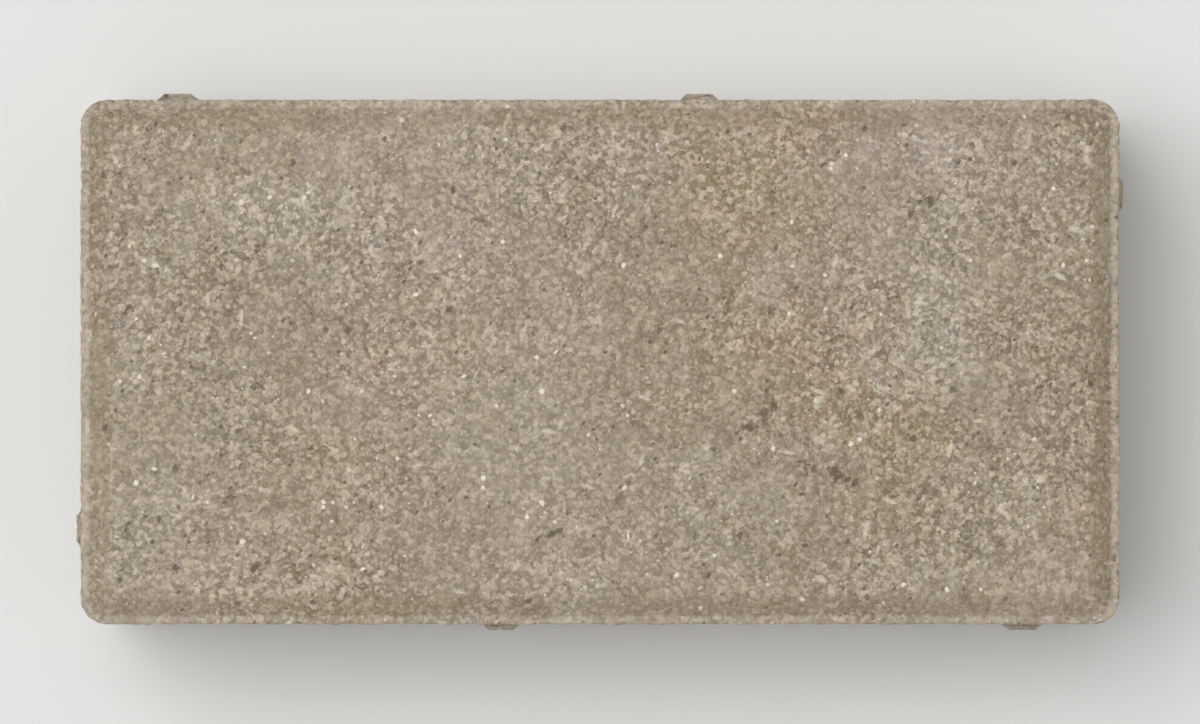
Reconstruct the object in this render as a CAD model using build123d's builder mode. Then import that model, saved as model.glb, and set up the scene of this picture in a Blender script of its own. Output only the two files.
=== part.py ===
from build123d import *

import math
import os

# A rectangular concrete paving block, pressed in one piece, in millimetres.
# The origin is the middle of the bed face, which lies on the sand. +X runs along the
# block, +Y across it, and +Z up to the walking face.

# Body, measured between its plain walls
body_length = 198.0
body_width = 100.0
thickness = 60.0
corner_radius = 5.0  # upright corners, in plan

# Pressed edge round the walking face: a narrow level rim at the wall, then a shallow bevel
rim_width = 1.5
rim_round = 0.4  # outer arris of the rim
bevel_width = 3.4
bevel_drop = 2.0
face_corner_radius = 2.6  # corners of the walking face, in plan
shoulder_width = 1.0  # reach of the soft shoulder above the bevel on to the walking face

# Spacer ribs on the walls, which keep laid blocks apart
laying_joint = 2.0
rib_inset = 18.0  # from a wall's right-hand corner, seen from outside, to its first rib
rib_proud = 1.5
rib_foot_width = 8.0
rib_crest_width = 5.0
rib_crest_round = 0.8
rib_top_depth = 8.0  # from the walking face down to the top of the rib
rib_run_out = 4.0  # height in which the top of the rib slopes back to the wall
rib_root = 2.0  # depth of the rib's solid inside the wall

# Places that follow from the sizes above
wall_x = body_length / 2
wall_y = body_width / 2
rim_level = thickness - bevel_drop
face_inset = rim_width + bevel_width
rib_top = thickness - rib_top_depth
first_rib_x = rib_inset - wall_x
# The second rib is half a laid length along, where a block laid in half bond has its own
second_rib_x = first_rib_x + (body_length + laying_joint) / 2
end_rib_y = wall_y - rib_inset

# The shoulder is an arc that touches the bevel and the walking face. It stays inside the
# rounded corners of the face and leaves some straight bevel.
bevel_angle = math.atan2(bevel_drop, bevel_width)
shoulder_reach = min(shoulder_width, 0.8 * face_corner_radius, 0.4 * bevel_width)
shoulder_radius = shoulder_reach / math.tan(bevel_angle / 2)


# One spacer rib, on a wall that lies in the XZ plane and faces +Y
with BuildPart() as spacer_rib:
    with BuildSketch() as rib_plan:
        with BuildLine():
            Polyline(
                (-rib_foot_width / 2, -rib_root),
                (-rib_foot_width / 2, 0),
                (-rib_crest_width / 2, rib_proud),
                (rib_crest_width / 2, rib_proud),
                (rib_foot_width / 2, 0),
                (rib_foot_width / 2, -rib_root),
                close=True,
            )
        make_face()
        fillet(rib_plan.vertices().group_by(Axis.Y)[-1], radius=rib_crest_round)
    extrude(amount=rib_top)

    # The mould lifts off upwards, so the rib starts at the bed face and runs out at its top
    with BuildSketch(Plane.YZ):
        with BuildLine():
            Polyline(
                (-rib_root, 0),
                (rib_proud, 0),
                (rib_proud, rib_top - rib_run_out),
                (0, rib_top),
                (-rib_root, rib_top),
                close=True,
            )
        make_face()
    extrude(amount=rib_foot_width / 2, both=True, mode=Mode.INTERSECT)


with BuildPart() as paving_stone:
    # Body up to the level rim
    with BuildSketch():
        RectangleRounded(body_length, body_width, corner_radius)
    extrude(amount=rim_level)
    rim = paving_stone.faces().sort_by(Axis.Z)[-1]
    fillet(rim.edges(), radius=rim_round)

    # Bevel, from the inner line of the rim up to the walking face
    with BuildSketch(Plane.XY.offset(rim_level)):
        RectangleRounded(
            body_length - 2 * rim_width,
            body_width - 2 * rim_width,
            corner_radius - rim_width,
        )
    with BuildSketch(Plane.XY.offset(thickness)):
        RectangleRounded(
            body_length - 2 * face_inset,
            body_width - 2 * face_inset,
            face_corner_radius,
        )
    loft(ruled=True)
    walking_face = paving_stone.faces().sort_by(Axis.Z)[-1]
    fillet(walking_face.edges(), radius=shoulder_radius)

    # Three ribs on one long wall and one end wall, and the same three half a turn on
    with PolarLocations(0, 2):
        with Locations((first_rib_x, wall_y, 0), (second_rib_x, wall_y, 0)):
            add(spacer_rib.part)
        with Locations(Location((wall_x, end_rib_y, 0), (0, 0, -90))):
            add(spacer_rib.part)

paving_stone.part.label = "paving_stone"

os.makedirs("parts", exist_ok=True)
export_step(paving_stone.part, "parts/paving_stone.step")
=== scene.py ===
import math
from types import SimpleNamespace

import bpy
import numpy as np
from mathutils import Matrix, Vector, kdtree, noise


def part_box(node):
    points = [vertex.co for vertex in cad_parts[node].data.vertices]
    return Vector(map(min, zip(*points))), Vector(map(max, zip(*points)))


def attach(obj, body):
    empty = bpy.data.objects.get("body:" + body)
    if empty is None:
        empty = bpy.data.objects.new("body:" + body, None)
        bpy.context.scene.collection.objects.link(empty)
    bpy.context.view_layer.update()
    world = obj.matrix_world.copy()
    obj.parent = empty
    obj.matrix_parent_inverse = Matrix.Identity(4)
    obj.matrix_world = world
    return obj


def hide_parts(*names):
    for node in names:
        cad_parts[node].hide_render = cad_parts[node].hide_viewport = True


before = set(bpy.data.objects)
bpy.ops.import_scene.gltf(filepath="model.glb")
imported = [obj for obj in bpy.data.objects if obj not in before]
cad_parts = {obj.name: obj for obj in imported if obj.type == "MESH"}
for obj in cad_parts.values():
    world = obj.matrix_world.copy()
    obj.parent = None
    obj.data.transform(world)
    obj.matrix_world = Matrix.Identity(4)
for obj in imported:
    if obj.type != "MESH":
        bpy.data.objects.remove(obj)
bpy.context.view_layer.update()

# A concrete paving block, pressed in one piece. Its shape is worked out in millimetres,
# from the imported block's box, and written to the mesh in metres.
MM = 0.001
_, node_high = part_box("paving_stone")

# Spacer ribs on the walls
rib_proud = 1.5
rib_inset = 18.0
rib_foot = 8.0
rib_crest = 5.0
rib_top_depth = 8.0
rib_run_out = 4.0
laying_joint = 2.0

# Body
half_length = node_high.x / MM - rib_proud
half_width = node_high.y / MM - rib_proud
thickness = node_high.z / MM
corner_radius = 5.0

# Pressed edge round the walking face
rim_width = 1.5
rim_round = 0.4
bevel_width = 3.4
bevel_drop = 2.0
face_corner_radius = 2.6
shoulder = 1.0

rim_level = thickness - bevel_drop
wall_top = rim_level - rim_round
face_inset = rim_width + bevel_width
rib_top = thickness - rib_top_depth
long_ribs = (rib_inset - half_length, rib_inset + laying_joint / 2)
end_ribs = (half_width - rib_inset,)

# Mesh: a fine grid on the walking face, rings down the walls with each second column
# left out below the ribs' tops, and a coarser grid under the block
corner_zone = 12.0
corner_cells = 24
face_cells = (328, 172)
arris_lines = 4
bevel_lines = 9
fine_wall_foot = 47.0
fine_rows = 13
wall_rows = 42
bed_arris = 0.6
bed_border = 3.8
bed_corner_radius = 3.0
bed_corner_cells = 6

# Columns of a wall's mesh, counted from the middle of a rib. The middle seven are moved on
# to the rib, and the outer two stay in place.
rib_columns = np.array([-8, -3, -2, -1, 0, 1, 2, 3, 8])

# Flat layout of the skin for baked textures, in pixels of a square picture
layout_side = 1024
layout_gap = 8
layout_walls_share = 0.7

# How deep a hollow may be cut into the walking face, and how much deeper elsewhere. Near
# an arris it is a share of the arris, because a deeper cut would fold the skin there.
face_cut = 0.50
open_cut = 0.45
arris_cut_share = 0.85

# The lower arris: how high up the walls and how far under the block it is chipped
foot_height = 1.2
foot_reach = 1.0

# Scars in the walking face: x and y of the start, heading in radians, and length
scar_starts = (
    (26, -14, -0.3, 11),
    (38, -19, 0.2, 13),
    (-41, 8, -0.5, 7),
    (63, 27, 1.9, 6),
    (-12, -33, 0.1, 5),
)


def plan_grid(half, cells, zone, zone_lines, plan_radius):
    """x and y of a grid over a rounded rectangle, and each point's inset from the outline.

    zone_lines are the insets of the lines in the border zone, from 0 to zone, and
    plan_radius(inset) is the corner radius of the ring at that inset."""
    count = len(zone_lines) - 1
    lines = []
    for reach, number in zip(half, cells):
        middle = np.linspace(zone - reach, reach - zone, number - 2 * count + 1)
        lines.append(np.concatenate([zone_lines[:-1] - reach, middle, reach - zone_lines[-2::-1]]))
    x, y = (np.array(g) for g in np.meshgrid(*lines, indexing="ij"))
    inset = np.minimum(half[0] - abs(x), half[1] - abs(y))
    for i in range(count + 1):
        for j in range(count + 1):
            ring, step = min(i, j), max(i, j)
            if ring == count:
                continue
            reach = zone - zone_lines[ring]
            radius = min(plan_radius(zone_lines[ring]), reach)
            arc = radius * math.pi / 4
            travel = (step - ring) / (count - ring) * (reach - radius + arc)
            if travel < arc:
                turn = math.pi / 4 - travel / radius
                across = reach - radius + radius * math.cos(turn)
                along = reach - radius + radius * math.sin(turn)
            else:
                across = reach
                along = reach - radius - (travel - arc)
            u, v = (across, along) if i <= j else (along, across)
            for a, side_x in ((i, -1), (-1 - i, 1)):
                for b, side_y in ((j, -1), (-1 - j, 1)):
                    x[a, b] = side_x * (half[0] - zone + u)
                    y[a, b] = side_y * (half[1] - zone + v)
                    inset[a, b] = zone_lines[ring]
    return x, y, inset


def ring_radius(inset):
    """Corner radius of the ring at this inset, in plan."""
    stops = (0, rim_width, face_inset, corner_zone)
    radii = (corner_radius, corner_radius - rim_width, face_corner_radius, 0)
    return float(np.interp(inset, stops, radii))


def edge_height(inset):
    """Height of the top at this inset: rounded arris, rim, bevel and soft shoulder."""
    slope = bevel_drop / bevel_width
    bevel = rim_level + slope * np.maximum(inset - rim_width, 0)
    left = np.clip(face_inset + shoulder - inset, 0, None)
    soft = thickness - slope * left ** 2 / (4 * shoulder)
    top = np.where(inset < face_inset - shoulder, bevel, soft)
    arris = np.sqrt(rim_round ** 2 - np.clip(rim_round - inset, 0, rim_round) ** 2)
    return np.where(inset < rim_round, wall_top + arris, top)


def border(array):
    """The outer ring of a grid, counter-clockwise from above."""
    return np.concatenate([array[:-1, 0], array[-1, :-1], array[:0:-1, -1], array[0, :0:-1]])


def outward(x, y):
    """Unit normals of the rounded outline at points on it."""
    dx = x - np.clip(x, corner_radius - half_length, half_length - corner_radius)
    dy = y - np.clip(y, corner_radius - half_width, half_width - corner_radius)
    size = np.hypot(dx, dy)
    return dx / size, dy / size


def gather(along, centres, step, start):
    """Moves wall columns sideways, so that one runs down each edge of each rib."""
    halves = np.array([rib_foot, rib_crest, rib_crest / 2]) / 2
    reaches = np.concatenate([-halves, [0], halves[::-1]])
    for centre in centres:
        near = start + step * round((centre - start) / step)
        columns = near + step * rib_columns
        moved = np.interp(along, columns, [columns[0], *(centre + reaches), columns[-1]])
        along = np.where((along > columns[0]) & (along < columns[-1]), moved, along)
    return along


def rib_height(along, height, centres):
    """How far the wall stands proud for its ribs."""
    proud = np.zeros_like(along)
    for centre in centres:
        flank = (rib_foot / 2 - abs(along - centre)) / ((rib_foot - rib_crest) / 2)
        run_out = (rib_top - height) / rib_run_out
        proud = np.maximum(proud, rib_proud * np.clip(np.minimum(flank, run_out), 0, 1))
    return proud


class Shell:
    """Collects the points and faces of the block, and where each lies on its skin."""

    def __init__(self):
        self.points = []
        self.travel = []
        self.proud = []
        self.faces = []
        self.places = []
        self.place = "top"
        self.count = 0

    def add(self, x, y, z, travel=0.0, proud=0.0):
        """Adds points, and returns their numbers in the same shape.

        travel is a wall point's way round the outline and proud how far a rib lifts it off
        the wall, both in millimetres."""
        x, y, z, travel, proud = np.broadcast_arrays(x, y, z, travel, proud)
        self.points.append(np.stack([x.ravel(), y.ravel(), z.ravel()], axis=1))
        self.travel.append(travel.ravel())
        self.proud.append(proud.ravel())
        numbers = np.arange(x.size).reshape(x.shape) + self.count
        self.count += x.size
        return numbers

    def join(self, *corners):
        """Adds faces with these corners."""
        made = np.stack([np.ravel(c) for c in corners], axis=1).tolist()
        self.faces += made
        self.places += [self.place] * len(made)

    def grid(self, numbers, up=True):
        """Faces of a grid that looks up or down."""
        a, b, c, d = numbers[:-1, :-1], numbers[1:, :-1], numbers[1:, 1:], numbers[:-1, 1:]
        self.join(*((a, b, c, d) if up else (a, d, c, b)))

    def band(self, upper, lower):
        """Faces between two rings with as many points."""
        self.join(lower, np.roll(lower, -1), np.roll(upper, -1), upper)

    def halving_band(self, upper, lower):
        """Faces between a ring and one with half as many points."""
        first, middle, last = upper[0::2], upper[1::2], np.roll(upper, -2)[0::2]
        onward = np.roll(lower, -1)
        self.join(lower, middle, first)
        self.join(lower, onward, middle)
        self.join(onward, last, middle)

    def close(self, inset, outline):
        """Turns the lists into arrays, once all points are in.

        The walking face comes first. inset is that of its points, and stays -1 elsewhere."""
        self.points = np.concatenate(self.points)
        self.proud = np.concatenate(self.proud)
        self.travel = np.concatenate(self.travel)
        first_numbers = np.arange(inset.size).reshape(inset.shape)
        self.travel[border(first_numbers)] = outline.travel
        self.side_starts = outline.side_starts
        self.inset = np.full(self.count, -1.0)
        self.inset[:inset.size] = inset.ravel()


class Outline:
    """The outer ring of the rim, from which the walls are taken down ring by ring."""

    def __init__(self, x, y):
        self.x = x
        self.y = y
        strides = np.hypot(np.roll(x, -1) - x, np.roll(y, -1) - y)
        travel = np.concatenate([[0], np.cumsum(strides)])
        turns = np.cumsum([0, face_cells[0], face_cells[1], face_cells[0], face_cells[1]])
        self.side_starts = travel[turns]
        self.travel = travel[:-1]
        self.normal_x, self.normal_y = outward(x, y)
        self.on_long = abs(self.normal_y) > 0.999
        self.on_end = abs(self.normal_x) > 0.999
        self.sign = np.where(self.on_long, np.sign(self.normal_y), np.sign(self.normal_x))
        self.along = self.sign * np.where(self.on_long, x, y)

        # Ribs keep to the columns that run on down to the foot, which are each second one
        half = (half_length, half_width)
        columns = [2 * (h - corner_zone) / (n - 2 * corner_cells) for h, n in zip(half, face_cells)]
        long_along = gather(self.along, long_ribs, 2 * columns[0], corner_zone - half_length)
        end_along = gather(self.along, end_ribs, 2 * columns[1], corner_zone - half_width)
        end_along = np.where(self.on_end, end_along, self.along)
        self.gathered = np.where(self.on_long, long_along, end_along)

    def ring(self, shell, height, keep=1, inwards=0.0):
        """Adds the ring of the walls at this height, with each second point if keep is 2."""
        share = np.clip((wall_top - height) / (wall_top - rib_top), 0, 1)
        spot = self.along + (self.gathered - self.along) * share * (1 - inwards / bed_border)
        proud = np.where(self.on_long, rib_height(spot, height, long_ribs), 0)
        proud = np.where(self.on_end, rib_height(spot, height, end_ribs), proud)
        x = np.where(self.on_long, self.sign * spot, self.x) + (proud - inwards) * self.normal_x
        y = np.where(self.on_end, self.sign * spot, self.y) + (proud - inwards) * self.normal_y
        return shell.add(x[::keep], y[::keep], height, self.travel[::keep], proud[::keep])


def walking_face():
    """x, y and inset of the grid over the top, with its lines close together on the edge."""
    face_lines = corner_cells - arris_lines - bevel_lines
    lines = np.concatenate([
        [0, rim_round * 0.3],
        np.linspace(rim_round, rim_width, arris_lines),
        np.linspace(rim_width, face_inset, bevel_lines)[1:],
        np.linspace(face_inset, corner_zone, face_lines + 1)[1:],
    ])
    return plan_grid((half_length, half_width), face_cells, corner_zone, lines, ring_radius)


def add_walls(shell, outline, upper):
    """Adds the walls below the ring upper, and returns their lowest ring."""
    shell.place = "wall"
    for height in np.linspace(wall_top, fine_wall_foot, fine_rows + 1)[1:]:
        lower = outline.ring(shell, height)
        shell.band(upper, lower)
        upper = lower
    heights = np.linspace(fine_wall_foot, bed_arris, wall_rows + 1)[1:]
    lower = outline.ring(shell, heights[0], keep=2)
    shell.halving_band(upper, lower)
    upper = lower
    for height in heights[1:]:
        lower = outline.ring(shell, height, keep=2)
        shell.band(upper, lower)
        upper = lower
    return upper


def add_bed(shell, outline, upper):
    """Adds the bed face below the ring upper: its arris, a ring, then a coarser grid."""
    shell.place = "bed"
    arris_steps = ((bed_arris * 0.3, bed_arris * 0.3), (0, bed_arris), (0, bed_border * 0.55))
    for height, inwards in arris_steps:
        lower = outline.ring(shell, height, keep=2, inwards=inwards)
        shell.band(upper, lower)
        upper = lower
    half = (half_length - bed_border, half_width - bed_border)
    cells = tuple(n // 4 for n in face_cells)
    zone = corner_zone - bed_border
    lines = np.linspace(0, zone, bed_corner_cells + 1)
    x, y, _ = plan_grid(half, cells, zone, lines, lambda inset: bed_corner_radius * (1 - inset / zone))
    bed = shell.add(x, y, 0.0)
    shell.grid(bed, up=False)
    shell.halving_band(upper, border(bed))


def block_shell():
    """The block's true shape, before any roughness."""
    shell = Shell()
    x, y, inset = walking_face()
    face = shell.add(x, y, edge_height(inset))
    shell.grid(face)
    outline = Outline(border(x), border(y))
    foot = add_walls(shell, outline, border(face))
    add_bed(shell, outline, foot)
    shell.close(inset, outline)
    return shell


def lay_out(mesh, shell):
    """Lays the skin out flat for baked textures, with no stretch at the joins.

    The walking face fills the upper half. Below it are three rows of walls, the two long
    ones and then the two end ones side by side, with the bed face upright beside them."""
    corner_point = np.zeros(len(mesh.loops), np.int32)
    mesh.loops.foreach_get("vertex_index", corner_point)
    corners = np.zeros(len(mesh.polygons), np.int32)
    mesh.polygons.foreach_get("loop_total", corners)
    first = np.concatenate([[0], np.cumsum(corners)[:-1]])
    place = np.repeat(np.array(shell.places), corners)
    x, y, z = shell.points[corner_point].T

    # A face over the start of the outline is read as lying at its end
    starts = shell.side_starts
    way = shell.travel[corner_point]
    furthest = np.repeat(np.maximum.reduceat(way, first), corners)
    at_start = way < 1e-6
    way = np.where((furthest > starts[-1] / 2) & at_start, starts[-1], way)
    middle = np.repeat(np.add.reduceat(way, first) / corners, corners)
    side = np.clip(np.searchsorted(starts, middle) - 1, 0, 3)
    share = (way - starts[side]) / (starts[side + 1] - starts[side])

    gap, full = layout_gap, layout_side
    face_wide = full - 2 * gap
    face_high = face_wide * half_width / half_length
    low_high = full - face_high - 3 * gap
    row_high = (low_high - 2 * gap) / 3
    walls_wide = layout_walls_share * face_wide
    end_wide = (walls_wide - gap) / 2
    bed_left = 2 * gap + walls_wide
    bed_wide = full - gap - bed_left
    wall_left = np.array([gap, gap, gap, 2 * gap + end_wide])[side]
    wall_wide = np.array([walls_wide, end_wide, walls_wide, end_wide])[side]
    wall_low = gap + np.array([2, 0, 1, 0])[side] * (row_high + gap)

    plan_x = (x + half_length) / (2 * half_length)
    plan_y = (y + half_width) / (2 * half_width)
    across = np.select(
        [place == "top", place == "wall"],
        [gap + plan_x * face_wide, wall_left + share * wall_wide],
        bed_left + plan_y * bed_wide)
    up = np.select(
        [place == "top", place == "wall"],
        [full - gap - (1 - plan_y) * face_high, wall_low + z / rim_level * row_high],
        gap + plan_x * low_high)
    layout = mesh.uv_layers.new(name="OFBake")
    spots = np.stack([across, up], axis=1) / full
    layout.uv.foreach_set("vector", spots.astype(np.float32).ravel())


def lumps(points, size, octaves, shift, stretch=(1, 1, 1)):
    """Smooth noise from about -1 to 1 over the points, with lumps of this size in millimetres.

    shift moves the noise, so that no two uses of it match."""
    spots = points / (np.array(stretch) * size) + shift
    return np.array([noise.fractal(Vector(p), 1.0, 2.0, octaves) for p in spots])


def smooth(low, high, value):
    """0 up to low, 1 from high on and a soft step between. low may be the greater one."""
    share = np.clip((value - low) / (high - low), 0, 1)
    return share * share * (3 - 2 * share)


class Relief:
    """The block's points, with the hollows that are cut into them."""

    def __init__(self, points):
        self.points = points
        self.cut = np.zeros(len(points))
        # How dark each point is painted in the hollows: dirt and painted shade
        self.hollow = np.zeros(len(points))
        self.tree = kdtree.KDTree(len(points))
        for index, point in enumerate(points):
            self.tree.insert(point, index)
        self.tree.balance()

    def pit(self, place, size, deep, ragged, shade):
        """Cuts one ragged hollow. deep is its depth as a share of its size."""
        for spot, index, gap in self.tree.find_range(place, size * 1.7):
            edge = 1 + ragged * noise.noise(spot * (1.3 / size))
            share = max(0.0, 1 - (gap / (size * edge)) ** 2)
            self.cut[index] = max(self.cut[index], deep * size * share ** 1.5)
            self.hollow[index] = max(self.hollow[index], shade * share)

    def scatter(self, chance, seed, number, sizes, deeps, ragged, shade=1.0):
        """Cuts hollows at points picked by chance, most of them small."""
        picker = np.random.default_rng(seed)
        spots = picker.choice(len(self.points), size=number, p=chance / chance.sum())
        for spot in spots:
            size = sizes[0] + (sizes[1] - sizes[0]) * picker.random() ** 3
            deep = picker.uniform(*deeps)
            self.pit(self.points[spot], size, deep, ragged, shade)

    def scars(self, starts, seed):
        """Cuts torn lines of small hollows into the walking face, where paste came away."""
        picker = np.random.default_rng(seed)
        for x, y, heading, length in starts:
            travelled = 0.0
            while travelled < length:
                middle = math.sin(math.pi * travelled / length)
                size = picker.uniform(0.50, 0.90) + 0.75 * middle * picker.random() ** 2
                aside = picker.normal(0, 0.45)
                spot = (x - aside * math.sin(heading), y + aside * math.cos(heading), thickness)
                self.pit(spot, size, picker.uniform(0.28, 0.45), 1.1, picker.uniform(0.50, 0.95))
                heading += picker.normal(0, 0.50)
                stride = size * picker.uniform(0.9, 2.4)
                x += stride * math.cos(heading)
                y += stride * math.sin(heading)
                travelled += stride


class Zones:
    """How far each point belongs to each part of the skin, from 0 to 1."""

    def __init__(self, shell):
        height = shell.points[:, 2]
        inset = shell.inset
        self.on_top = inset >= 0
        self.on_bed = height < 0.01
        beside = self.on_top | self.on_bed
        self.wall = np.where(beside, 0, smooth(rim_level, rim_level - 2.0, height))
        self.flat = np.where(self.on_top, smooth(rim_width, face_inset, inset), 0)

        # The rim takes in the top of the walls
        rim_top = 1 - smooth(rim_width * 0.75, rim_width * 1.2, inset)
        rim_side = smooth(rim_level - 2.2, rim_level - 0.9, height)
        self.rim = np.where(self.on_top, rim_top, rim_side)
        self.arris = np.where(self.on_top, inset < rim_round * 1.01, height > rim_level - 1.2) * 1.0

        # The lower arris, first on the walls alone and then on both sides of it
        self.foot = np.where(self.on_bed, 0, height < foot_height) * 1.0
        from_side = half_width - abs(shell.points[:, 1])
        from_edge = np.minimum(half_length - abs(shell.points[:, 0]), from_side)
        self.low_edge = (height < foot_height) & (from_edge < foot_reach)

        # Voids stay open low on the walls, and the skin is closer near the rim
        self.open_wall = self.wall * (1 - 0.75 * smooth(rim_level - 14, rim_level - 5, height))


def cut_hollows(points, zones):
    """Pits and scars in the walking face, voids in the walls and bed, and chipped arrises."""
    relief = Relief(points)
    spread = zones.on_top * (0.15 + zones.flat)
    relief.scatter(
        spread, seed=11, number=170,
        sizes=(0.40, 0.95), deeps=(0.22, 0.45), ragged=0.7, shade=0.95)
    relief.scatter(
        spread, seed=17, number=16,
        sizes=(0.9, 1.4), deeps=(0.18, 0.32), ragged=0.9, shade=0.8)
    relief.scars(scar_starts, seed=18)

    # Voids of the walls and the bed
    relief.scatter(
        zones.open_wall, seed=12, number=700,
        sizes=(0.6, 2.4), deeps=(0.30, 0.55), ragged=1.2, shade=0.56)
    relief.scatter(
        zones.on_bed * 1.0, seed=13, number=260,
        sizes=(1.3, 3.0), deeps=(0.12, 0.28), ragged=1.1, shade=0.50)

    # Nicks in the rim's arris, and chips in the bed's
    relief.scatter(
        zones.arris, seed=14, number=240,
        sizes=(0.35, 0.95), deeps=(0.25, 0.50), ragged=0.8, shade=0.45)
    relief.scatter(
        zones.arris, seed=19, number=14,
        sizes=(1.0, 1.9), deeps=(0.18, 0.32), ragged=0.9, shade=0.5)
    relief.scatter(
        zones.foot, seed=15, number=150,
        sizes=(0.5, 2.0), deeps=(0.18, 0.34), ragged=0.9, shade=0.5)
    return relief


def roughness(points, zones, hollows):
    """How far each point rises off the true shape, in millimetres."""
    # Broad unevenness, then sand
    rise = 0.06 * lumps(points, size=38, octaves=2, shift=3.1) * (zones.flat + zones.wall)
    rise += 0.045 * lumps(points, size=7, octaves=2, shift=7.7)
    rise += 0.065 * lumps(points, size=2.1, octaves=2, shift=1.3)
    rise += 0.050 * lumps(points, size=1.25, octaves=1, shift=5.9)

    deepest = face_cut + open_cut * (zones.wall + zones.on_bed)
    deepest = np.where(zones.arris > 0, arris_cut_share * rim_round, deepest)
    deepest = np.where(zones.low_edge, arris_cut_share * bed_arris, deepest)
    rise -= np.minimum(hollows.cut, deepest)

    # Crumbs of sand along the rim
    crumbs = Relief(points)
    crumbs.scatter(zones.rim, seed=16, number=260, sizes=(0.45, 0.95), deeps=(0.12, 0.30), ragged=0.6)
    rise += crumbs.cut * 0.7
    rise += zones.rim * 0.07 * lumps(points, size=2.2, octaves=3, shift=9.4)

    # Walls: drag marks from the mould, and a sandy skin that never swells past the rim
    drag = lumps(points, size=2.0, octaves=2, shift=4.2, stretch=(1, 1, 18))
    rise -= zones.wall * 0.07 * (0.6 + 0.6 * drag)
    sandy = lumps(points, size=3.4, octaves=3, shift=8.8)
    rise -= zones.wall * 0.10 * (0.5 + 0.5 * sandy)
    return rise


def edge_masks(shell, zones):
    """Where the rim is rubbed pale, and how much dirt and painted shade lie on the bevel."""
    from_end = half_length - abs(shell.points[:, 0])
    from_side = half_width - abs(shell.points[:, 1])
    near_end = smooth(-4, 4, from_side - from_end)

    # The rim is rubbed paler at the two ends
    rim_top = 1 - smooth(rim_width * 0.9, rim_width * 1.15, shell.inset)
    on_rim = np.where(zones.on_top, rim_top, zones.rim)
    rubbed = on_rim * np.where(zones.on_top, 0.56 + 0.40 * near_end, 0.75 + 0.25 * near_end)

    # Dirt and painted shade lie on the bevel, thickest on its inner line; the painted shade carries
    # the bevel's dark band in past its shoulder
    on_bevel = smooth(rim_width * 0.8, rim_width * 1.3, shell.inset)
    on_bevel *= 1 - smooth(face_inset - 0.65, face_inset + 1.55, shell.inset)
    on_bevel = np.where(zones.on_top, on_bevel, 0)
    outer_dirt_and_shade = 0.74 + 0.12 * near_end
    dirt = on_bevel * (outer_dirt_and_shade + (1 - outer_dirt_and_shade) * smooth(3.0, 5.6, shell.inset))
    return {"rim": rubbed, "dirt": dirt}


def stain_masks(points):
    """Broad staining, as noise: clouds, lime bloom in strokes, ochre, tinge and open skin."""
    bend = lumps(points, size=14, octaves=1, shift=5.5)
    bent = points + np.outer(bend, (5.0, 0, 0))
    strokes = lumps(bent, size=1.6, octaves=2, shift=27.1, stretch=(1, 3.4, 1))
    return {
        "cloud": lumps(points, size=62, octaves=4, shift=2.6),
        "bloom": lumps(points, size=24, octaves=6, shift=6.3) + 0.8 * strokes,
        "ochre": lumps(points, size=40, octaves=5, shift=12.7),
        "tinge": lumps(points, size=27, octaves=5, shift=17.9),
        "open": lumps(points, size=19, octaves=3, shift=21.4),
    }


def pressed_block():
    """The block's mesh with its real roughness: sand, pits, a crumbled rim and drag marks."""
    shell = block_shell()
    points = shell.points
    mesh = bpy.data.meshes.new("pressed_block")
    mesh.from_pydata(points, [], shell.faces)
    mesh.update()
    normals = np.zeros(len(points) * 3, np.float32)
    mesh.vertex_normals.foreach_get("vector", normals)
    normals = normals.reshape(-1, 3).astype(float)

    zones = Zones(shell)
    hollows = cut_hollows(points, zones)
    moved = points + normals * roughness(points, zones, hollows)[:, None]
    moved[:, 2] = np.maximum(moved[:, 2], 0)
    mesh.vertices.foreach_set("co", (moved * MM).astype(np.float32).ravel())
    lay_out(mesh, shell)

    # What the finish reads
    masks = {
        **edge_masks(shell, zones),
        "wall": zones.wall,
        "bed": zones.on_bed * 1.0,
        "crest": smooth(0.35, 0.95, shell.proud / rib_proud),
        "hollow": hollows.hollow,
        **stain_masks(points),
    }
    for name, values in masks.items():
        layer = mesh.attributes.new(name, "FLOAT", "POINT")
        layer.data.foreach_set("value", values.astype(np.float32))
    mesh.shade_smooth()
    mesh.update()
    return bpy.data.objects.new("pressed_block", mesh)


class Socket:
    """What a node gives out. Sums, differences and products of numbers add Math nodes."""

    def __init__(self, finish, end):
        self.finish = finish
        self.end = end

    def __add__(self, other):
        return self.finish.math("ADD", self, other)

    def __sub__(self, other):
        return self.finish.math("SUBTRACT", self, other)

    def __rsub__(self, other):
        return self.finish.math("SUBTRACT", other, self)

    def __mul__(self, other):
        return self.finish.math("MULTIPLY", self, other)

    __radd__ = __add__
    __rmul__ = __mul__


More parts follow.
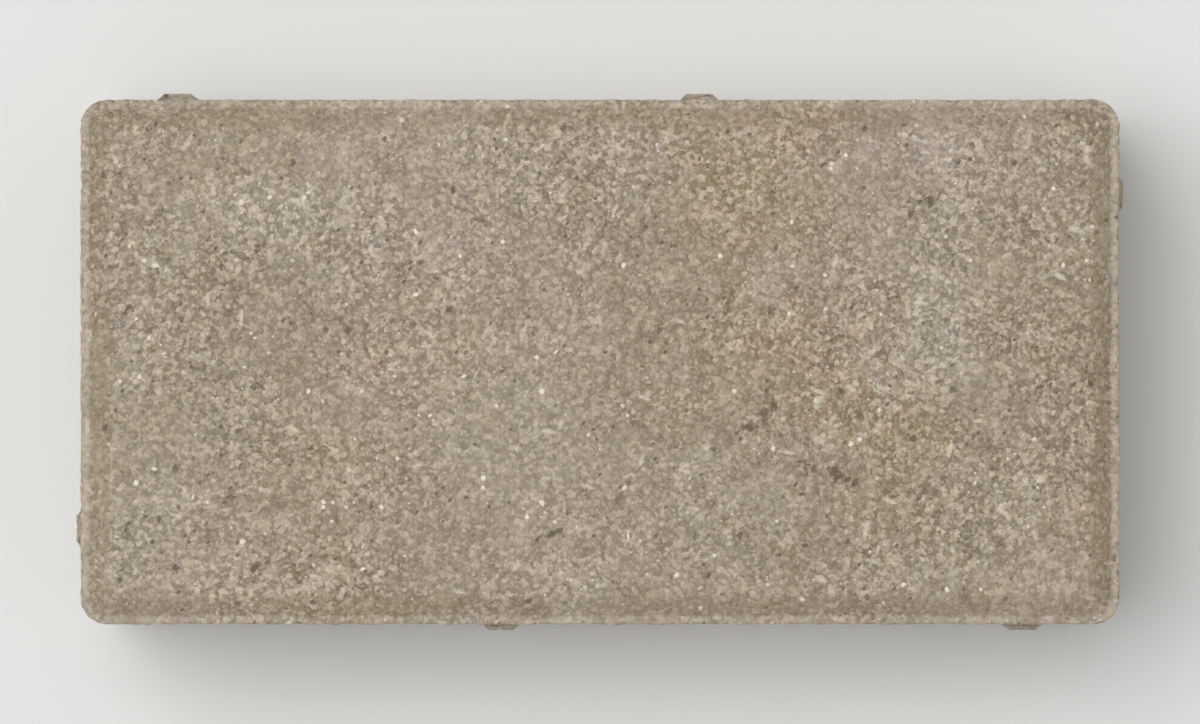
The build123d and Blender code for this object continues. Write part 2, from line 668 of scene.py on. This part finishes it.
class Finish:
    """The nodes of one material, or of the surround."""

    def __init__(self, owner):
        owner.use_nodes = True
        self.owner = owner
        self.tree = owner.node_tree
        self.tree.nodes.clear()

    def add(self, kind, settings, sockets, out=0):
        """Adds a node: its settings first, then the values or links of its sockets.

        out is the output to return, or a tuple of them."""
        made = self.tree.nodes.new("ShaderNode" + kind)
        for name, value in settings.items():
            setattr(made, name, value)
        for name, value in sockets.items():
            if isinstance(value, Socket):
                self.tree.links.new(value.end, made.inputs[name])
            else:
                made.inputs[name].default_value = value
        if isinstance(out, tuple):
            return tuple(Socket(self, made.outputs[name]) for name in out)
        return Socket(self, made.outputs[out])

    def math(self, operation, first, second):
        return self.add("Math", {"operation": operation}, {0: first, 1: second})

    def mix(self, share, under, over):
        """Colour over laid on colour under, by share. A Mix node has its colours at 6 and 7."""
        return self.add("Mix", {"data_type": "RGBA"}, {0: share, 6: under, 7: over}, out=2)

    def vector(self, operation, first, second):
        return self.add("VectorMath", {"operation": operation}, {0: first, 1: second})

    def scale(self, colour, amount):
        return self.add("VectorMath", {"operation": "SCALE"}, {0: colour, "Scale": amount})

    def step(self, value, low, high):
        """0 at low, 1 at high and a soft step between."""
        sockets = {"Value": value, "From Min": low, "From Max": high}
        return self.add("MapRange", {"interpolation_type": "SMOOTHSTEP"}, sockets)

    def noise(self, place, size, detail, roughness):
        """Noise from 0 to 1 with lumps of this size in millimetres."""
        sockets = {"Vector": place, "Scale": 1 / size, "Detail": detail, "Roughness": roughness}
        return self.add("TexNoise", {}, sockets)

    def grains(self, place, size, flat=False):
        """Packed grains of this size in millimetres.

        Returns how far a spot is from its grain's middle, and two chance numbers that are
        each the same all over one grain."""
        settings = {"voronoi_dimensions": "2D" if flat else "3D"}
        sockets = {"Vector": place, "Scale": 1 / size, "Randomness": 1.0}
        away, colour = self.add("TexVoronoi", settings, sockets, out=("Distance", "Color"))
        tone, pick = self.add("SeparateColor", {}, {0: colour}, out=("Red", "Green"))
        return away, tone, pick

    def mask(self, name):
        return self.add("Attribute", {"attribute_name": name}, {}, out="Fac")

    def place(self):
        """Where a spot lies on the object, in metres."""
        return self.add("TexCoord", {}, {}, out="Object")

    def surface(self, shader, kind="OutputMaterial"):
        """Ends the nodes in this shader, and returns the material or surround."""
        self.add(kind, {}, {"Surface": shader}, out=())
        return self.owner


def srgb(red, green, blue):
    """A screen colour, from 0 to 255, as the linear colour that a shader takes."""
    shares = [c / 255 for c in (red, green, blue)]
    linear = [s / 12.92 if s <= 0.04045 else ((s + 0.055) / 1.055) ** 2.4 for s in shares]
    return (*linear, 1.0)


# Colours of the concrete
paste_light = srgb(173, 160, 143)
paste_dark = srgb(164, 150, 130)
ochre_stain = srgb(170, 151, 118)
lime_bloom = srgb(189, 178, 164)
sand_tint = srgb(164, 153, 140)[:3]
white_quartz = srgb(238, 229, 210)
small_quartz = srgb(236, 227, 208)
dark_flint = srgb(84, 72, 58)
pale_scuff = srgb(222, 212, 190)
# Dirt on the bevel, with painted shade
bevel_dirt_and_shade = srgb(138, 122, 92)
rubbed_rim = srgb(200, 189, 174)
# Rib crests: rubbed, with a painted highlight
rubbed_and_highlit_crest = srgb(196, 186, 171)
wall_dark = srgb(148, 137, 121)
wall_light = srgb(166, 155, 140)
dull_bed = srgb(140, 128, 110)
# Dirt and painted shade in the pits
pit_dirt_and_shade = srgb(88, 75, 59)
# Painted shade in the open gaps
open_gap_shade = srgb(90, 79, 65)

# Slight hues, which multiply the colour under them
rosy = (1.016, 0.990, 1.004, 1)
olive = (0.996, 1.004, 0.990, 1)
yellow_grain = (1.012, 1.0, 0.962, 1)
blue_grain = (0.988, 1.0, 1.038, 1)
red_grain = (1.017, 0.991, 1.0, 1)
green_grain = (0.983, 1.009, 1.0, 1)

# Sizes of what the finish draws, in millimetres
coarse_grain = 0.92
fine_grain = 0.52
clump_size = 1.35
patch_size = 6.0
grit_size = 0.40
streak_size = 1.9
scuff_length = 5.2
scuff_width = 1.7
scuff_bend_size = 9
scuff_bend = 4.0


class Sand:
    """The sand in the skin: two sizes of grain, gaps between them, clumps, and streaks."""

    def __init__(self, look, place):
        # The fine grains and patches are shifted, so that they don't repeat the others
        shifted = look.vector("ADD", place, (31.0, 17.0, 53.0))
        self.away, self.tone, self.pick = look.grains(place, coarse_grain)
        self.fine_away, self.fine_tone, self.fine_pick = look.grains(shifted, fine_grain)
        self.clump = look.noise(place, clump_size, 3, 0.62)
        self.patch = look.noise(shifted, patch_size, 3, 0.55)
        self.grit = look.noise(place, grit_size, 2, 0.6)
        self.gap = look.step(self.away, 0.38, 0.78)
        self.fine_gap = look.step(self.fine_away, 0.40, 0.80)
        self.worn = (self.grit - 0.5) * 0.9
        self.broken = look.step(self.clump, 0.36, 0.62)

        # Streaks run down the walls, where the mould slid off
        slid = look.vector("MULTIPLY", place, (1, 1, 0.06))
        self.streak = look.noise(slid, streak_size, 3, 0.6)


def cement_paste(look, masks, sand):
    """Warm grey in broad clouds, with ochre stain and pale lime bloom.

    Returns its colour, and where the bloom lies."""
    paste = look.mix(look.step(masks.cloud, -0.8, 0.8), paste_light, paste_dark)
    stain = look.step(masks.ochre + (sand.patch - 0.5) * 0.8, -0.1, 0.9)
    paste = look.mix(stain * masks.top * 0.27, paste, ochre_stain)
    lime = masks.bloom + (sand.clump - 0.5) * 1.3 + (sand.patch - 0.5) * 0.8
    lime = look.step(lime, 0.0, 0.9)
    paste = look.mix(lime * 0.40, paste, lime_bloom)
    hue = look.mix(look.step(masks.tinge, -0.45, 0.45), rosy, olive)
    return look.vector("MULTIPLY", paste, hue), lime


def sanded(look, masks, sand, paste):
    """Sand in the paste. The skin is closed in some places, and shows its sand in others."""
    mean_square = 0.33
    bare = 0.74 + look.step(masks.open, -0.5, 0.5) * 0.38
    coarse = (sand.tone * sand.tone - mean_square) * 0.64
    fine = (sand.fine_tone * sand.fine_tone - mean_square) * 0.52
    speckle = coarse + fine + (sand.clump - 0.5) * 0.40
    shade = 0.06 + speckle * bare + (sand.patch - 0.5) * 0.36
    # Painted shade in the gaps between the grains, which the bump doesn't cast
    shade = shade - sand.gap * 0.09 - sand.fine_gap * 0.09
    colour = look.vector("ADD", paste, look.scale(sand_tint, shade))
    hue = look.mix(sand.pick, yellow_grain, blue_grain)
    fine_hue = look.mix(sand.fine_pick, red_grain, green_grain)
    return look.vector("MULTIPLY", colour, look.vector("MULTIPLY", hue, fine_hue))


def stray_grains(look, sand, lime, colour):
    """White quartz and dark flint, none of them quite round.

    One to two grains in a hundred are picked for each kind, and more of the white ones in
    lime. Returns the colour, and where the quartz lies."""
    outline = sand.away + sand.worn - sand.tone * sand.tone * 0.34
    white = look.step(sand.pick + lime * 0.009, 0.989, 0.991)
    white = white * (1 - look.step(outline, 0.20, 0.36))
    colour = look.mix(white * (0.50 + sand.tone * 0.50), colour, white_quartz)
    small = look.step(sand.fine_pick + lime * 0.010, 0.986, 0.989)
    small = small * (1 - look.step(sand.fine_away + sand.worn, 0.22, 0.42))
    colour = look.mix(small * (0.45 + sand.fine_tone * 0.5), colour, small_quartz)
    dark = (1 - look.step(sand.pick, 0.014, 0.016)) * (1 - look.step(outline, 0.22, 0.42))
    colour = look.mix(dark * 0.66, colour, dark_flint)
    return colour, white + small


def scuffed(look, masks, sand, place, colour):
    """Short pale scuffs in two headings, carried on the grains' crests."""
    sockets = {"Vector": place, "Scale": 1 / scuff_bend_size, "Detail": 1.0}
    bend = look.add("TexNoise", {}, sockets, out="Color")
    bent = look.vector("ADD", place, look.scale(bend, scuff_bend))
    for heading, seldom in ((0.35, 0.985), (1.9, 0.987)):
        sockets = {"Vector": bent, "Angle": heading}
        turned = look.add("VectorRotate", {"rotation_type": "Z_AXIS"}, sockets)
        drawn = look.vector("MULTIPLY", turned, (1 / scuff_length, 1 / scuff_width, 0))
        away, _, pick = look.grains(drawn, 1.0, flat=True)
        scuff = look.step(pick, seldom, seldom + 0.003)
        scuff = scuff * (1 - look.step(away + sand.worn * 0.6, 0.16, 0.36)) * (1 - sand.gap * 0.4)
        colour = look.mix(scuff * masks.top * 0.74, colour, pale_scuff)
    return colour


def edged(look, masks, sand, colour):
    """Dirt and painted shade on the bevel, and a pale rubbed rim, both broken up by the sand."""
    # The bevel's band: partly dirt, partly painted shade
    colour = look.mix(masks.dirt * (0.20 + sand.broken * 0.26), colour, bevel_dirt_and_shade)
    return look.mix(masks.rim * (0.22 + sand.broken * 0.34), colour, rubbed_rim)


def walled(look, masks, sand, colour):
    """Walls a little greyer and streaked, a duller bed, and ribs with crests made paler by rubbing and
    a painted highlight.
    """
    wall_tint = look.mix(look.step(sand.streak, 0.34, 0.66), wall_dark, wall_light)
    colour = look.mix(masks.wall * 0.30, colour, wall_tint)
    colour = look.mix(masks.bed * 0.35, colour, dull_bed)
    # Rib crests paler: partly rubbed, partly a painted highlight that shows the ribs under the soft
    # light
    return look.mix(masks.crest * (0.10 + sand.broken * 0.40), colour, rubbed_and_highlit_crest)


def pitted(look, masks, sand, colour):
    """Pits with a torn edge, and on the walls and the bed open gaps between the grains.

    Returns the colour, and where the pits and the gaps lie."""
    # Dirt and painted shade in the pits and scars, where the paste tore away
    torn = masks.hollow + (sand.clump - 0.5) * 0.9 + (sand.tone - 0.5) * 0.2
    torn = look.step(torn, 0.30, 0.58)
    colour = look.mix(torn * (0.46 + sand.fine_tone * 0.36), colour, pit_dirt_and_shade)
    # Painted shade in the open gaps of the walls and the bed
    loose = sand.clump + (sand.streak - 0.5) * masks.wall * 0.30
    loose = loose + (sand.patch - 0.5) * 0.35 + masks.bed * 0.03
    crumbly = (masks.wall + masks.bed) * (1 - look.step(loose, 0.30, 0.40))
    colour = look.mix(crumbly * 0.62, colour, open_gap_shade)
    return colour, torn, crumbly


def fine_relief(look, masks, sand, torn, crumbly):
    """Sand too fine for the mesh, as a bump."""
    height = sand.clump * 0.26 + sand.streak * masks.wall * 0.13
    height = height - sand.away * 0.11 - sand.fine_away * 0.08
    height = height + sand.grit * 0.16 - torn * 0.10 - crumbly * 0.30
    return look.add("Bump", {}, {"Strength": 1.0, "Distance": MM, "Height": height})


def pressed_concrete():
    """Sandy pressed concrete: grains in paste, lime bloom, ochre stain, pale rim, dark pits."""
    look = Finish(bpy.data.materials.new("pressed_concrete"))
    place = look.scale(look.place(), 1 / MM)
    names = (
        "rim", "dirt", "wall", "bed", "crest", "hollow",
        "cloud", "bloom", "ochre", "tinge", "open")
    masks = SimpleNamespace(**{name: look.mask(name) for name in names})
    masks.top = 1 - masks.wall - masks.bed
    sand = Sand(look, place)

    paste, lime = cement_paste(look, masks, sand)
    colour = sanded(look, masks, sand, paste)
    colour, white = stray_grains(look, sand, lime, colour)
    colour = scuffed(look, masks, sand, place, colour)
    colour = edged(look, masks, sand, colour)
    colour = walled(look, masks, sand, colour)
    colour, torn, crumbly = pitted(look, masks, sand, colour)
    sockets = {
        "Base Color": colour,
        "Roughness": 0.93 - white * 0.5,
        "Specular IOR Level": 0.25,
        "Normal": fine_relief(look, masks, sand, torn, crumbly),
    }
    return look.surface(look.add("BsdfPrincipled", {}, sockets))


def floor_finish():
    """A plain pale floor, which fades into the surround between 0.5 and 3.5 m away."""
    look = Finish(bpy.data.materials.new("pale_floor"))
    sockets = {"Base Color": (0.84, 0.84, 0.83, 1), "Roughness": 0.9, "Specular IOR Level": 0.1}
    lit = look.add("BsdfPrincipled", {}, sockets)
    haze = look.add("Emission", {}, {"Color": (1, 1, 1, 1), "Strength": 1.0})
    away = look.add("VectorMath", {"operation": "LENGTH"}, {0: look.place()}, out="Value")
    shown = look.add("LightPath", {}, {}, out="Is Camera Ray")
    fade = look.step(away, 0.5, 3.5) * shown
    return look.surface(look.add("MixShader", {}, {0: fade, 1: lit, 2: haze}))


def pale_floor():
    """The floor that the block lies on."""
    reach = 12.0
    mesh = bpy.data.meshes.new("floor")
    corners = [(-reach, -reach, 0), (reach, -reach, 0), (reach, reach, 0), (-reach, reach, 0)]
    mesh.from_pydata(corners, [], [(0, 1, 2, 3)])
    mesh.materials.append(floor_finish())
    floor = bpy.data.objects.new("floor", mesh)
    bpy.context.scene.collection.objects.link(floor)


def lamp(name, place, size, power):
    """A square soft lamp that looks at the block."""
    data = bpy.data.lights.new(name, "AREA")
    data.size = size
    data.energy = power
    made = bpy.data.objects.new(name, data)
    made.location = place
    made.rotation_mode = "QUATERNION"
    towards = Vector((0, 0, thickness * MM)) - Vector(place)
    made.rotation_quaternion = towards.to_track_quat("-Z", "Y")
    made.visible_camera = False
    bpy.context.scene.collection.objects.link(made)


def studio():
    """Soft light, mostly from overhead and a little from the left, and a white surround."""
    lamp("overhead", place=(-1.24, 0.68, 4.0), size=2.6, power=104)
    surround = Finish(bpy.data.worlds.new("surround"))
    white = (1, 1, 1, 1)
    lighting = surround.add("Background", {}, {"Color": white, "Strength": 0.45})
    backdrop = surround.add("Background", {}, {"Color": white, "Strength": 1.0})
    rays = ("Is Camera Ray", "Is Glossy Ray", "Is Transmission Ray")
    seen, mirrored, through = surround.add("LightPath", {}, {}, out=rays)
    for ray in (mirrored, through):
        seen = surround.math("MAXIMUM", seen, ray)
    shown = surround.add("MixShader", {}, {0: seen, 1: lighting, 2: backdrop})
    bpy.context.scene.world = surround.surface(shown, "OutputWorld")


def overhead_camera():
    """Looks straight down, as the photograph does, with the block across most of the picture."""
    share_of_width = 0.88
    height_above = 1.6
    data = bpy.data.cameras.new("camera")
    seen_width = 2 * (half_length + rib_proud) * MM / share_of_width
    data.sensor_width = 36
    data.lens = data.sensor_width * height_above / seen_width
    data.clip_end = 20
    camera = bpy.data.objects.new("camera", data)
    camera.location = (0, 0, thickness * MM + height_above)
    bpy.context.scene.collection.objects.link(camera)
    bpy.context.scene.camera = camera


bpy.context.scene.view_settings.view_transform = "Standard"
overhead_camera()
studio()
pale_floor()

block = pressed_block()
bpy.context.scene.collection.objects.link(block)
block.data.materials.append(pressed_concrete())
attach(block, "root")
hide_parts("paving_stone")
print("triangles", sum(len(p.vertices) - 2 for p in block.data.polygons))
